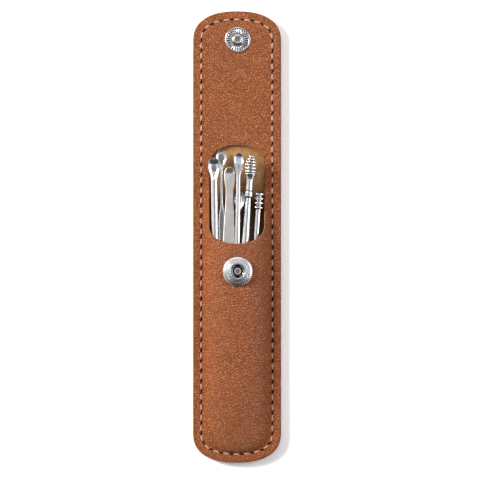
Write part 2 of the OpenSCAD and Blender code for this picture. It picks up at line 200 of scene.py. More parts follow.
def side(start, end, pitch):
    """Points between two ends of a straight side, without the ends."""
    count = max(1, round(float(np.hypot(*(end - start))) / pitch))
    t = np.arange(1, count)[:, None] / count
    return start + t * (end - start)


def long_oval(half_w, top, top_len, bottom, bottom_len, power, inset, pitch, steps=44):
    """A closed outline with straight sides and rounded ends, from its upper right, anticlockwise."""
    upper = oval_end(0, half_w, top_len, power, inset, steps) + [0, top - top_len]
    lower = oval_end(180, half_w, bottom_len, power, inset, steps) + [0, bottom + bottom_len]
    left = side(upper[-1], lower[0], pitch)
    right = side(lower[-1], upper[0], pitch)
    return np.concatenate([upper, left, lower, right])


def case_ring(inset, pitch=1.0):
    """The case's outline, moved inwards."""
    return long_oval(HALF_W, CASE_END, END_LEN, -CASE_END, END_LEN, END_POWER, inset, pitch)


def window_ring(outset):
    """The window's outline, moved outwards."""
    return long_oval(HALF_W - RAIL_W, WINDOW_TOP, WINDOW_TOP_LEN, MOUTH_Y, WINDOW_BOTTOM_LEN,
                     WINDOW_POWER, -outset, 0.8)


def inside(points, polygon):
    """Whether each point lies inside a closed line."""
    a, b = polygon, np.roll(polygon, -1, 0)
    px, py = points[:, :1], points[:, 1:]
    crosses = (a[:, 1] > py) != (b[:, 1] > py)
    rise = np.where(a[:, 1] == b[:, 1], 1, b[:, 1] - a[:, 1])
    x = a[:, 0] + (py - a[:, 1]) * (b[:, 0] - a[:, 0]) / rise
    return (crosses & (px < x)).sum(1) % 2 == 1


def distance(points, polygon):
    """How far each point is from a closed line."""
    best = np.full(len(points), 1e9)
    for start, step in zip(polygon, np.roll(polygon, -1, 0) - polygon):
        t = np.clip(((points - start) @ step) / (step @ step), 0, 1)
        best = np.minimum(best, np.hypot(*(points - start - t[:, None] * step).T))
    return best


def thin_out(points, cell):
    """Keeps one point in each small square."""
    _, first = np.unique(np.round(points / cell).astype(int), axis=0, return_index=True)
    return points[np.sort(first)]


def cut_sheet(loops, extra):
    """Points and triangles inside the first loop and outside the others, and each loop's point numbers."""
    points = [Vector(p) for p in np.concatenate([*loops, extra])]
    edges, starts, first = [], [], 0
    for loop in loops:
        edges += [(first + i, first + (i + 1) % len(loop)) for i in range(len(loop))]
        starts.append(first)
        first += len(loop)
    found, _, faces, origins, _, _ = delaunay_2d_cdt(points, edges, [], 0, 1e-6)
    place = {source: i for i, sources in enumerate(origins) for source in sources}
    xy, triangles = np.array(found), np.array(faces)
    middle = xy[triangles].mean(1)
    kept = inside(middle, loops[0])
    for loop in loops[1:]:
        kept &= ~inside(middle, loop)
    used, triangles = np.unique(triangles[kept], return_inverse=True)
    number = {int(old): new for new, old in enumerate(used)}
    rims = [[number[place[s + i]] for i in range(len(loop))] for s, loop in zip(starts, loops)]
    return xy[used], triangles.reshape(-1, 3), rims


# ---- seam ----

SEAM = long_oval(HALF_W, CASE_END, END_LEN, -CASE_END, END_LEN, END_POWER, SEAM_INSET, 200, 24)
SEAM_STEPS = np.hypot(*(np.roll(SEAM, -1, 0) - SEAM).T)
SEAM_AT = np.concatenate([[0], np.cumsum(SEAM_STEPS)])
STITCHES = round(SEAM_AT[-1] / STITCH_PITCH)


def on_seam(share):
    """Place and direction at a number of stitches along the seam."""
    s = (share / STITCHES * SEAM_AT[-1]) % SEAM_AT[-1]
    i = min(int(np.searchsorted(SEAM_AT, s, "right")) - 1, len(SEAM) - 1)
    step = SEAM[(i + 1) % len(SEAM)] - SEAM[i]
    return SEAM[i] + step * (s - SEAM_AT[i]) / SEAM_STEPS[i], math.atan2(step[1], step[0])


HOLES = [on_seam(k) for k in range(STITCHES)]


def hole_reach(points):
    """For each point, its distance from the nearest needle hole's middle, in shares of the hole's size."""
    best = np.full(len(points), 9.0)
    for (x, y), angle in HOLES:
        near = np.abs(points - [x, y]).max(1) < 2
        dx, dy = points[near, 0] - x, points[near, 1] - y
        c, s = math.cos(angle + HOLE_TILT), math.sin(angle + HOLE_TILT)
        along, across = (dx * c + dy * s) / (HOLE_LEN / 2), (dy * c - dx * s) / (HOLE_W / 2)
        best[near] = np.minimum(best[near], np.hypot(along, across))
    return best


def hole_points():
    """Rings of points round each needle hole, so that its pit is smooth."""
    found = []
    for (x, y), angle in HOLES:
        c, s = math.cos(angle + HOLE_TILT), math.sin(angle + HOLE_TILT)
        found.append([x, y])
        for reach in (0.45, 0.8, 1.0, 1.2, 1.6):
            for k in range(14):
                a = math.tau * (k + 0.5 * (reach > 0.9)) / 14
                u = reach * HOLE_LEN / 2 * math.cos(a)
                v = reach * HOLE_W / 2 * math.sin(a)
                found.append([x + u * c - v * s, y + u * s + v * c])
    return np.array(found)


def seam_relief(points, from_edge):
    """How far the surface sinks along the seam, in a groove with a pit at each needle hole, and how much
    painted shade goes in the pits."""
    groove = GROOVE_DEPTH * np.exp(-(((from_edge - SEAM_INSET) / GROOVE_W) ** 2))
    reach = hole_reach(points)
    pit = HOLE_DEPTH * np.clip(1 - reach**2, 0, 1) ** 0.7
    lip = 0.1 * np.exp(-(((reach - 1.35) / 0.3) ** 2))
    return groove + pit - lip, np.clip((1.12 - reach) / 0.25, 0, 1)


# ---- the pocket's bulge ----


def pocket_height(y):
    """Height inside the pocket at its middle line."""
    down = np.clip((PLATEAU_Y - y) / (PLATEAU_Y - BULGE_BOTTOM), 0, 1)
    up = np.clip((y - LIFT_Y) / (FLAT_Y - LIFT_Y), 0, 1)
    return POCKET_H * np.sqrt(1 - down**SLOPE_POWER) * (1 - up * up * (3 - 2 * up))


def half_width(y, inset):
    """Half the width between the case's sides, moved inwards, narrowing at the pouch's end."""
    t = np.clip((END_LEN - CASE_END - y) / (END_LEN - inset), 0, 1)
    return (HALF_W - inset) * (1 - t**END_POWER) ** (1 / END_POWER)


def cross_section(x, half_w, power, root):
    """A rounded hump across the case, from 1 at its middle to 0 at its sides."""
    share = np.abs(x) / np.maximum(half_w, 1e-3)
    return np.where(share < 1, np.maximum(1 - np.minimum(share, 1) ** power, 0) ** root, 0)


def soft_max(a, b, softness):
    """The larger of two heights, with the corner between them rounded."""
    h = np.maximum(softness - np.abs(a - b), 0) / softness
    return np.maximum(a, b) + h * h * softness / 4


def face_height(x, y):
    """Top of the front leather: flat on the flap, and drawn up over the picks on the pouch."""
    half_w = half_width(y, RIM_W - 0.2)
    rise = (pocket_height(y) + LEATHER_T) * cross_section(x, half_w, BULGE_POWER, BULGE_ROOT)
    soft = FOOT_SOFTNESS * np.clip(pocket_height(y) / POCKET_H, 0.05, 1)
    waves = 0.09 * np.sin(y / 9.5 + x / 6) * np.sin(y / 21 - x / 11 + 1) * np.clip(rise - 2, 0, 1)
    return INSIDE_Z + soft_max(np.full_like(rise, LEATHER_T), rise, soft) + waves


def lining_side(x, y):
    """Underside of the front leather, inside the pocket."""
    rise = pocket_height(y) * cross_section(x, half_width(y, RIM_W + LEATHER_T), UNDER_POWER, 1 / UNDER_POWER)
    return INSIDE_Z + 0.01 + rise


def bulge_points():
    """Rows across the bulge, closer together where it is steep."""
    low = BULGE_BOTTOM + np.array([0.03, 0.12, 0.3, 0.55, 0.9, 1.3, 1.8, 2.4, 3.1, 3.9, 4.8, 5.8, 6.8])
    rows = np.concatenate([low, np.arange(low[-1] + 1, FLAT_Y + 1, 1.0)])
    shares = np.sin(np.radians(90 * np.arange(-16, 17) / 16))
    return np.concatenate([
        np.stack([half_width(y, RIM_W - 0.2) * shares, np.full(len(shares), y)], 1) for y in rows
    ])


def grid_points(low_y, high_y, pitch):
    """A staggered grid over the case."""
    found = []
    for row, y in enumerate(np.arange(low_y, high_y, pitch)):
        x = np.arange(-HALF_W + (row % 2) * pitch / 2, HALF_W, pitch)
        found.append(np.stack([x, np.full(len(x), y)], 1))
    return np.concatenate(found)


# ---- leather and lining ----


def ply(name, sheet, top, under, materials):
    """A closed sheet from its triangles, with top and under as points for the same triangles.
    Materials are for the top, the underside and the outer edge, and the last one also for inner edges."""
    _, triangles, rims = sheet
    count = len(top)
    faces = [*triangles, *(triangles[:, ::-1] + count)]
    slots = [0] * len(triangles) + [1] * len(triangles)
    for number, rim in enumerate(rims):
        for i, j in zip(rim, rim[1:] + rim[:1]):
            faces.append([i + count, j + count, j, i] if number == 0 else [i, j, j + count, i + count])
            slots.append(min(2 + number, len(materials) - 1))
    piece = add_mesh(name, np.concatenate([top, under]), faces, materials, 55)
    piece.data.polygons.foreach_set("material_index", np.array(slots, np.int32))
    return piece


def bend_at_fold(piece):
    """Bakes the piece's placing into its points; the piece is not split at the fold."""
    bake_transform(piece)


def rounded_drop(depth, radius):
    """How far a rounded edge lies below the face, at a distance from the edge."""
    t = np.clip(1 - depth / radius, 0, 1)
    return radius * (1 - np.sqrt(1 - t * t))


def post_hole(low, high):
    """The round hole that the post of a snap half goes through."""
    a = math.tau * np.arange(28) / 28
    return (low + high)[:2] / 2 + POST_HOLE_R * np.stack([np.cos(a), np.sin(a)], 1)


def front_leather(materials):
    """The face of the case: one ply with the window, over the flap and the pocket."""
    outer, window = case_ring(EDGE_STEP), window_ring(0)
    holes = [post_hole(SOCKET_LOW, SOCKET_HIGH), post_hole(STUD_LOW, STUD_HIGH)]
    rings = [case_ring(EDGE_STEP + d) for d in (0.06, 0.15, 0.3, 0.5, 0.9, 1.6, 2.3)]
    rings += [case_ring(d, 0.8) for d in (2.7, 3.0, 3.25, 3.5, 3.75, 4.0, 4.3)]
    rings += [window_ring(d) for d in (0.07, 0.18, 0.35, 0.6, 1.1, 1.8)]
    fill = np.concatenate([bulge_points(), grid_points(FLAT_Y + 1, CASE_END, 1.5)])
    extra = np.concatenate([np.concatenate(rings), fill])
    extra = np.concatenate([hole_points(), extra[hole_reach(extra) > 1.9]])
    near = distance(extra, outer)
    extra = extra[inside(extra, outer) & (near > EDGE_GAP)]
    for loop in (window, *holes):
        extra = extra[~inside(extra, loop) & (distance(extra, loop) > EDGE_GAP)]
    sheet = cut_sheet([outer, window, *holes], thin_out(extra, POINT_PITCH))
    xy, rims = sheet[0], sheet[2]
    from_edge, from_window = distance(xy, case_ring(0)), distance(xy, window)
    sink, dark = seam_relief(xy, from_edge)
    z = face_height(*xy.T) - sink - rounded_drop(from_edge - EDGE_STEP, EDGE_ROUND)
    z -= rounded_drop(from_window, WINDOW_ROUND)
    top = np.column_stack([xy + FACE_SHIFT, np.minimum(z, snap_seats(xy))])
    under_xy = xy.copy()
    under_xy[rims[0]] = case_ring(0)
    under = np.column_stack([under_xy, np.minimum(lining_side(*xy.T), top[:, 2] - 0.25)])
    piece = ply("front_leather", sheet, top, under, materials)
    # Painted shade: the needle holes are made nearly black.
    store(piece, "hole", np.concatenate([dark, dark * 0]))
    # Darker along the cut edge: the pressed edge's tone with painted shade.
    store(piece, "edge_wear_and_shade", np.tile(np.exp(-np.maximum(from_edge - EDGE_STEP, 0) / EDGE_WEAR_SHADE_WIDTH), 2))
    store_rest(piece)
    bend_at_fold(piece)
    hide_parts("pouch_front_panel", "flap_front_panel")


def snap_seats(xy):
    """The leather is pressed flat under both halves of the snap, and puckers a little round them."""
    limit = np.full(len(xy), 99.0)
    for low, high in ((SOCKET_LOW, SOCKET_HIGH), (STUD_LOW, STUD_HIGH)):
        middle, radius = (low + high)[:2] / 2, (high - low)[0] / 2
        reach = np.hypot(*(xy - middle).T) - radius
        floor = low[2] + 0.02 + np.clip(reach, 0, 3) ** 2 * 0.5
        limit = np.where(reach < 1.6, np.minimum(limit, floor), limit)
    return limit


def back_leather(materials):
    """The back of the case, with its grain side down and a recess for the stud's plate."""
    outer = case_ring(0)
    rings = [case_ring(d) for d in (0.1, 0.3, 0.6, 1.5, 2.3)]
    rings += [case_ring(d, 0.8) for d in (2.7, 3.0, 3.25, 3.5, 3.75, 4.0, 4.5)]
    extra = np.concatenate([*rings, grid_points(-CASE_END, CASE_END, 1.8)])
    extra = np.concatenate([hole_points(), extra[hole_reach(extra) > 1.9]])
    extra = extra[inside(extra, outer) & (distance(extra, outer) > 0.05)]
    hole = post_hole(STUD_LOW, STUD_HIGH)
    extra = extra[~inside(extra, hole) & (distance(extra, hole) > EDGE_GAP)]
    sheet = cut_sheet([outer, hole], thin_out(extra, POINT_PITCH))
    xy = sheet[0]
    from_edge = distance(xy, outer)
    sink, dark = seam_relief(xy, from_edge)
    bottom = np.maximum(sink, 0) + rounded_drop(from_edge, BACK_ROUND)
    stud = (STUD_LOW + STUD_HIGH)[:2] / 2
    plate_low, plate_high = box_mm("stud_post")
    plate_r, plate_t = (plate_high - plate_low)[0] / 2, 0.3
    bottom = np.where(np.hypot(*(xy - stud).T) < plate_r + 0.4, plate_t + 0.02, bottom)
    under = np.column_stack([xy, np.minimum(bottom, LINING_Z - 0.2)])
    top = np.column_stack([xy, np.full(len(xy), LINING_Z - 0.01)])
    piece = ply("back_leather", sheet, top, under, [materials[1], materials[0], materials[2]])
    # Painted shade: the needle holes are made nearly black.
    store(piece, "hole", np.concatenate([dark * 0, dark]))
    store(piece, "edge_wear_and_shade", np.tile(np.exp(-from_edge / EDGE_WEAR_SHADE_WIDTH), 2))
    store_rest(piece)
    bend_at_fold(piece)
    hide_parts("pouch_back_panel", "flap_back_panel")


def lining_cloth(material):
    """The lining between the plies, with painted shade that darkens it deep in the pocket."""
    outer = case_ring(LINING_INSET)
    extra = grid_points(-CASE_END, CASE_END, 1.2)
    extra = extra[inside(extra, outer) & (distance(extra, outer) > 0.4)]
    hole = post_hole(STUD_LOW, STUD_HIGH)
    sheet = cut_sheet([outer, hole], extra[~inside(extra, hole) & (distance(extra, hole) > 0.1)])
    xy = sheet[0]
    nap = 0.02 * np.sin(xy[:, 0] * 1.1 + np.sin(xy[:, 1] * 0.5)) * np.sin(xy[:, 1] * 0.8)
    top = np.column_stack([xy, INSIDE_Z - 0.03 + nap])
    under = np.column_stack([xy, np.full(len(xy), LINING_Z)])
    piece = ply("lining_cloth", sheet, top, under, [material, material, material])
    store_rest(piece)
    y = np.array([v.co.y for v in piece.data.vertices]) / MM
    # Painted shade deep in the pocket.
    store(piece, "pocket", POCKET_SHADE * np.clip((POCKET_SHADE_START - y) / POCKET_SHADE_LEN, 0, 1))
    bend_at_fold(piece)
    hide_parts("pouch_lining", "flap_lining")


# ---- thread ----


def thread_run(k, z):
    """One stitch between two needle holes: two plies twisted together, which dive at both ends."""
    rings, around, turn = 13, 12, 3.2
    points = []
    for i in range(rings):
        u = 2 * i / (rings - 1) - 1
        (x, y), angle = on_seam(k + 0.5 + u * THREAD_LEN / 2 / STITCH_PITCH)
        dive = 0.55 * max(0, (abs(u) - 0.55) / 0.45) ** 2
        radius = THREAD_R * (1 - 0.25 * max(0, abs(u) - 0.6) / 0.4)
        for j in range(around):
            a = math.tau * j / around
            r = radius * (1 + 0.16 * math.cos(2 * (a - u * turn)))
            across, up = r * math.cos(a), r * 0.8 * math.sin(a)
            points.append([x - across * math.sin(angle), y + across * math.cos(angle), z(dive) + up])
    return np.array(points), rings, around


def thread(name, z, nodes, material):
    """All the stitches of one thread. z gives a stitch's height from how deep it dives."""
    points, faces, first = [], [], 0
    for k in range(STITCHES):
        run, rings, around = thread_run(k, z)
        for i in range(rings - 1):
            for j in range(around):
                a, b = first + i * around + j, first + i * around + (j + 1) % around
                faces.append([b, a, a + around, b + around])
        faces.append([first + j for j in range(around)])
        faces.append([first + (rings - 1) * around + j for j in reversed(range(around))])
        points.append(run)
        first += len(run)
    piece = add_mesh(name, np.concatenate(points), faces, [material], 70)
    store_rest(piece)
    bend_at_fold(piece)
    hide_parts(*nodes)


# ---- turned and lofted steel ----


def smooth_curve(at, xs, ys):
    """A curve through points that never overshoots them."""
    xs, ys = np.asarray(xs, float), np.asarray(ys, float)
    step = np.diff(xs)
    slope = np.diff(ys) / step
    tangent = np.concatenate([[slope[0]], np.zeros(len(xs) - 2), [slope[-1]]])
    both = slope[:-1] * slope[1:] > 0
    tangent[1:-1][both] = 2 * slope[:-1][both] * slope[1:][both] / (slope[:-1] + slope[1:])[both]
    i = np.clip(np.searchsorted(xs, at, "right") - 1, 0, len(step) - 1)
    t = np.clip((at - xs[i]) / step[i], 0, 1)
    h = step[i]
    return (ys[i] * (1 + 2 * t) * (1 - t) ** 2 + ys[i + 1] * t * t * (3 - 2 * t)
            + h * tangent[i] * t * (1 - t) ** 2 - h * tangent[i + 1] * t * t * (1 - t))


def rounded_profile(profile, radius):
    """Rounds the corners of an open line of [radius, height] points."""
    steps = 3
    points = [np.array(p, float) for p in profile]
    found = [points[0]]
    for before, at, after in zip(points, points[1:], points[2:]):
        a, b = before - at, after - at
        la, lb = np.hypot(*a), np.hypot(*b)
        cut = min(radius, la * 0.45, lb * 0.45)
        start, end = at + a / la * cut, at + b / lb * cut
        for t in np.linspace(0, 1, steps + 1):
            found.append(start * (1 - t) ** 2 + at * 2 * t * (1 - t) + end * t * t)
    return np.array(found + [points[-1]])


def turned(profile, segments, wobble=None):
    """Points and faces of a profile turned about Z. The wobble moves points by their ring and angle."""
    count = len(profile)
    angles = math.tau * np.arange(segments) / segments
    r = np.repeat(profile[:, :1], segments, 1)
    z = np.repeat(profile[:, 1:], segments, 1)
    a = np.repeat(angles[None, :], count, 0)
    if wobble:
        r, z = wobble(r, z, a)
    points = np.stack([r * np.cos(a), r * np.sin(a), z], 2).reshape(-1, 3)
    faces = []
    for i in range(count - 1):
        for j in range(segments):
            k = (j + 1) % segments
            low, high = i * segments, (i + 1) * segments
            faces.append([low + j, low + k, high + k, high + j])
    return points, faces


def fill_rows(profile, longest):
    """Adds points to a profile where its steps are long."""
    found = [profile[0]]
    for start, end in zip(profile, profile[1:]):
        count = max(1, math.ceil(np.hypot(*(end - start)) / longest))
        found += [start + (end - start) * t / count for t in range(1, count + 1)]
    return np.array(found)


def polar(points):
    """Each point's distance and direction from the middle of a turned piece."""
    x, y = (points - (points.min(0) + points.max(0)) / 2)[:, :2].T
    return np.hypot(x, y), np.arctan2(y, x)


def stud_recess_shade(points, rim):
    """Painted shade on the stud: how dark it is between its flutes, inside its rim and round its knob."""
    r, a = polar(points)
    low = points[:, 2] < STUD_LOW[2] + 0.5
    valleys = np.clip(0.5 - np.cos(FLUTES * a), 0, 1) * (r > FLUTE_INNER) * (r < rim - FLUTE_RIM_GAP)
    by_rim = np.clip(1 - np.abs(r - rim + 0.68) / 0.16, 0, 1)
    by_knob = np.clip(1 - np.abs(r - 2.1) / 0.35, 0, 1)
    return np.clip(0.85 * valleys + 0.7 * (by_rim + by_knob), 0, 1) * low


def socket_recess_shade(points, rim, dots):
    """Painted shade on the socket: how dark it is in its hole, between its teeth and in its dots."""
    r, a = polar(points)
    z = points[:, 2] - SOCKET_LOW[2]
    top = SOCKET_HIGH[2] - SOCKET_LOW[2]
    hole = (r < 3.2) * np.clip((top - 0.3 - z) / 0.3, 0, 1)
    valleys = np.clip(0.2 - np.cos(TEETH * a), 0, 1) * (r > rim - 0.62)
    dot_shade = sum(np.exp(-(r**2 + at**2 - 2 * r * at * np.cos(a - way)) / DOT_SPREAD) for at, way in dots)
    return np.clip(hole + 0.8 * valleys + 0.8 * dot_shade * (z > top - 0.7), 0, 1)


def snap_stud(material):
    """The stud: a rolled rim, a fluted ring, a smooth dish and the knob."""
    top = STUD_HIGH[2] - STUD_LOW[2]
    rim = (STUD_HIGH - STUD_LOW)[0] / 2
    profile = rounded_profile([
        [rim - 0.35, 0.0], [rim, 0.05], [rim, 0.34], [rim - 0.22, 0.5], [rim - 0.55, 0.46],
        [rim - 0.78, 0.22], [3.95, 0.2], [3.0, 0.34], [2.75, 0.3], [2.3, 0.3], [2.02, 0.42],
        [1.8, 0.8], [1.56, 1.15], [1.58, 1.3], [1.75, 1.55], [1.76, 1.8], [1.6, top - 0.08],
        [1.3, top], [1.16, top - 0.07], [0.001, top - 0.09],
    ], 0.12)
    profile = fill_rows(profile, 0.25)

    def wobble(r, z, a):
        inner = np.clip((r - FLUTE_INNER) / 0.25, 0, 1)
        outer = np.clip((rim - FLUTE_RIM_GAP - r) / 0.12, 0, 1)
        on_flutes = inner * outer * (z < 0.45)
        wave = np.cos(FLUTES * a)
        return r, z + 0.13 * on_flutes * np.sign(wave) * np.abs(wave) ** 0.6

    points, faces = turned(profile, FLUTES * 10, wobble)
    points += [*((STUD_LOW + STUD_HIGH)[:2] / 2), STUD_LOW[2]]
    piece = add_mesh("stud", points, faces, [material], 50)
    # Painted shade in the stud's flutes, inside its rim and round its knob.
    store(piece, "painted_recess_shade", stud_recess_shade(points, rim))
    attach(piece, "flap")
    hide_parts("snap_stud")


def snap_socket(material):
    """The socket: a toothed edge, a sloping ring with six groups of dots, and the hole for the knob."""
    top = SOCKET_HIGH[2] - SOCKET_LOW[2]
    rim = (SOCKET_HIGH - SOCKET_LOW)[0] / 2
    profile = rounded_profile([
        [rim - 0.4, 0.0], [rim - 0.02, 0.05], [rim - 0.02, 0.5], [rim - 0.18, 0.75],
        [rim - 0.36, 0.95], [rim - 0.55, top - 0.85], [rim - 0.85, top - 0.66], [3.15, top - 0.04],
        [2.85, top], [2.62, top - 0.12], [2.56, top - 0.42], [3.1, top - 0.62],
        [3.1, 0.5], [2.6, 0.22], [1.16, 0.2],
    ], 0.12)
    profile = fill_rows(profile, 0.1)
    dots = [
        (DOT_RING + 0.18 * (n % 2), math.radians(60 * group + 22 + 9 * n))
        for group in range(6) for n in range(3)
    ]

    def wobble(r, z, a):
        low = np.clip((1.15 - z) / 0.5, 0, 1) * (r > rim - 0.6)
        r = r - 0.12 * low * (1 - np.cos(TEETH * a)) / 2
        for dot_r, dot_a in dots:
            dx = r * np.cos(a) - dot_r * math.cos(dot_a)
            dy = r * np.sin(a) - dot_r * math.sin(dot_a)
            z = z - 0.16 * np.exp(-(dx**2 + dy**2) / DOT_SPREAD) * (z > top - 0.5)
        return r, z

    points, faces = turned(profile, TEETH * 8, wobble)
    points += [*((SOCKET_LOW + SOCKET_HIGH)[:2] / 2), SOCKET_LOW[2]]
    piece = add_mesh("socket", points, faces, [material], 50)
    # Painted shade in the socket's hole, between its teeth and in its dots.
    store(piece, "painted_recess_shade", socket_recess_shade(points, rim, dots))
    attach(piece, "pouch")
    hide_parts("snap_socket")


def pick_frame(node):
    """A pick's line, from its CAD node: its right, along and up, its far end's place, and its length."""
    joint = next(j for j in frame["joints"] if j["child"] == node)
    along = np.array(joint["axis"]) / np.linalg.norm(joint["axis"])
    right = np.array([along[1], -along[0], 0]) / np.hypot(along[0], along[1])
    up = np.cross(right, along)
    points = np.array([v.co for v in NODES[node].data.vertices]) / MM
    local = points @ np.stack([right, along, up], 1)
    low, high = local[:, 1].min(), local[:, 1].max()
    end = local[local[:, 1] < low + 3]
    middle = (end.min(0) + end.max(0)) / 2
    origin = right * middle[0] + along * low + up * middle[2]
    return np.stack([right, along, up]), origin, high - low


def finish_pick(name, node, points, faces, material, sharp_deg):
    """Lays a pick, made with its tip at Y = 0 and its handle towards -Y, on its own line."""
    axes, origin, length = pick_frame(node)
    points = np.asarray(points) + [0, length, 0]
    piece = add_mesh(name, points @ axes + origin, faces, [material], sharp_deg)
    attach(piece, node)
    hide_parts(node)
    return piece


def turned_pick(name, node, profile, material, corner, recess_shade):
    """A pick turned about its own axis, from [radius, distance from the tip] points. The last argument gives
    how much painted shade it has in its recesses, at a radius and a distance."""
    shape = fill_rows(rounded_profile(profile, corner), 6)
    points, faces = turned(shape, 56)
    dark = recess_shade(np.hypot(points[:, 0], points[:, 1]), points[:, 2])
    points = np.stack([points[:, 0], -points[:, 2], points[:, 1]], 1)
    piece = finish_pick(name, node, points, faces, material, 42)
    # Painted shade in the pick's recesses.
    store(piece, "painted_recess_shade", dark)


def section(half_w, up, edge, down, top_power, under_power, dish_w, dish_d):
    """One cross-section of a lofted pick: over the top from right to left, then back underneath."""
    steps = 26
    share = np.cos(np.pi * np.arange(steps + 1) / steps)
    x = half_w * share
    over = edge + (up - edge) * np.maximum(1 - np.abs(share) ** top_power, 0) ** (1 / top_power)
    under = edge - (edge + down) * np.maximum(1 - np.abs(share) ** under_power, 0) ** (1 / under_power)
    hollow = np.clip(1 - np.abs(x / max(dish_w, 1e-3)) ** 5, 0, 1) * dish_d
    over = np.maximum(over - hollow, np.minimum(under + 0.2, over))
    top = np.stack([x, over], 1)
    back = np.stack([x[1:-1], under[1:-1]], 1)[::-1]
    return np.concatenate([top, back])


def lofted_pick(name, node, rows, material, sharp_deg=34):
    """A pick from cross-sections: [distance from the tip, then what section() takes]."""
    points = []
    for y, *shape in rows:
        points += [[x, -y, z] for x, z in section(*shape)]
    count = len(points) // len(rows)
    faces = []
    for i in range(len(rows) - 1):
        for j in range(count):
            k = (j + 1) % count
            faces.append([i * count + j, i * count + k, (i + 1) * count + k, (i + 1) * count + j])
    faces.append(list(reversed(range(count))))
    faces.append([(len(rows) - 1) * count + j for j in range(count)])
    return finish_pick(name, node, points, faces, material, sharp_deg)


def bowl_half(y, length, width, neck, widest):
    """Half the width of a spoon's bowl at a distance from its tip."""
    t = np.clip(y / length, 0, 1)
    tip = width / 2 * np.sqrt(np.clip(1 - (1 - np.minimum(t, widest) / widest) ** 2, 0, 1))
    base = neck / 2 + (width - neck) / 4 * (1 + np.cos(np.pi * (t - widest) / (1 - widest)))
    return np.where(t < widest, tip, base)


def spoon_rows(length, bowl_len, width, neck, widest, table, handle):
    """Cross-sections of a spoon. The table gives, at distances from the tip, [distance, up, edge, down,
    top power, under power, rim, dish depth]; the handle gives [distance from the tip, diameter, flatness]."""
    table = np.array(table, float)
    near = np.concatenate([[0.015, 0.06, 0.14, 0.25, 0.4, 0.6, 0.8], np.arange(1, bowl_len + 1.5, 0.22)])
    columns = [smooth_curve(near, table[:, 0], table[:, c]) for c in range(1, 8)]
    half = bowl_half(near, bowl_len, width, neck, widest)
    rows = []
    for y, hw, up, edge, down, top_p, under_p, rim, dish in zip(near, half, *columns):
        rows.append([y, hw, up, edge, down, top_p, under_p, max(hw - rim, 0.01), dish])
    far = np.array(handle, float)
    end = length - np.array([1.0, 0.6, 0.3, 0.1, 0.0])
    for y in np.concatenate([np.arange(near[-1] + 1, length - 1.2, 1.6), end]):
        r = smooth_curve(np.array([y]), far[:, 0], far[:, 1])[0] / 2
        flat = smooth_curve(np.array([y]), far[:, 0], far[:, 2])[0]
        dome = math.sqrt(max(0.02, 1 - max(0, y - length + 1) ** 2))
        thick = r * flat * dome
        power = 2 + 6 * (1 - flat)
        rows.append([y, r * dome, thick, 0, thick, power, power, 0.01, 0])
    return rows


def wide_spoon(material):
    """A deep bowl on a round shaft as wide as its neck."""
    length = pick_frame("wide_spoon")[2]
    d = 2.7
    table = [
        [0.0, 0.42, 0.34, -0.14, 6, 2.0, 0.2, 0.0],
        [0.7, 0.44, 0.36, 0.2, 6, 2.0, 0.24, 0.2],
        [1.8, 0.46, 0.38, 0.6, 6, 2.0, 0.24, 0.62],
        [2.9, 0.46, 0.38, 0.76, 6, 2.0, 0.25, 1.0],
        [5.2, 0.5, 0.4, 0.95, 5, 2.0, 0.27, 1.02],
        [6.7, 0.7, 0.35, 1.2, 3, 2.0, 0.36, 0.9],
        [7.5, 0.95, 0.2, 1.3, 2.3, 2.0, 0.62, 1.05],
        [7.9, 1.12, 0.1, 1.33, 2.1, 2.0, 1.0, 0.7],
        [8.2, 1.25, 0.0, 1.35, 2.0, 2.0, 1.3, 0.0],
        [9.0, 1.35, 0.0, 1.35, 2.0, 2.0, 1.35, 0.0],
        [12, 1.35, 0.0, 1.35, 2.0, 2.0, 1.35, 0.0],
    ]
    rows = spoon_rows(length, 8.4, 4.8, d, 0.34, table, [[0, d, 1], [length, d, 1]])
    lofted_pick("wide_spoon_pick", "wide_spoon", rows, material)


def small_spoon(material):
    """A shallow scoop, deepest at its tip, on a shaft that thickens."""
    length = pick_frame("small_spoon")[2]
    table = [
        [0.0, 0.4, 0.32, -0.16, 6, 2.0, 0.15, 0.0],
        [0.6, 0.38, 0.32, 0.1, 6, 2.0, 0.25, 0.42],
        [1.3, 0.36, 0.3, 0.4, 6, 2.0, 0.3, 0.64],
        [2.8, 0.36, 0.28, 0.6, 5, 2.0, 0.35, 0.44],
        [4.6, 0.4, 0.24, 0.66, 4, 2.0, 0.5, 0.16],
        [6.8, 0.55, 0.1, 0.72, 3, 2.0, 0.7, 0.06],
        [9.5, 0.8, 0.0, 0.8, 2.0, 2.0, 0.8, 0.0],
        [13, 0.82, 0.0, 0.82, 2.0, 2.0, 0.8, 0.0],
    ]
    handle = [[0, 1.6, 1], [9.5, 1.62, 1], [26, 1.85, 1], [length, 1.6, 1]]
    rows = spoon_rows(length, 9.5, 4.1, 1.62, 0.24, table, handle)
    lofted_pick("small_spoon_pick", "small_spoon", rows, material)


def short_spoon(material):
    """A deep bowl on a thin shaft."""
    length = pick_frame("short_spoon")[2]
    table = [
        [0.0, 0.4, 0.32, -0.16, 6, 2.0, 0.15, 0.0],
        [0.8, 0.4, 0.32, 0.2, 6, 2.0, 0.3, 0.4],
        [2.6, 0.4, 0.3, 0.58, 6, 2.0, 0.34, 0.72],
        [4.6, 0.4, 0.3, 0.6, 6, 2.0, 0.34, 0.75],
        [6.3, 0.45, 0.25, 0.6, 4, 2.0, 0.4, 0.6],
        [7.4, 0.55, 0.1, 0.62, 2.6, 2.0, 0.6, 0.3],
        [8.2, 0.6, 0.0, 0.62, 2.0, 2.0, 0.6, 0.0],
        [12, 0.65, 0.0, 0.65, 2.0, 2.0, 0.6, 0.0],
    ]
    rows = spoon_rows(length, 8.2, 4.2, 1.2, 0.42, table, [[0, 1.3, 1], [length, 1.3, 1]])
    lofted_pick("short_spoon_pick", "short_spoon", rows, material)


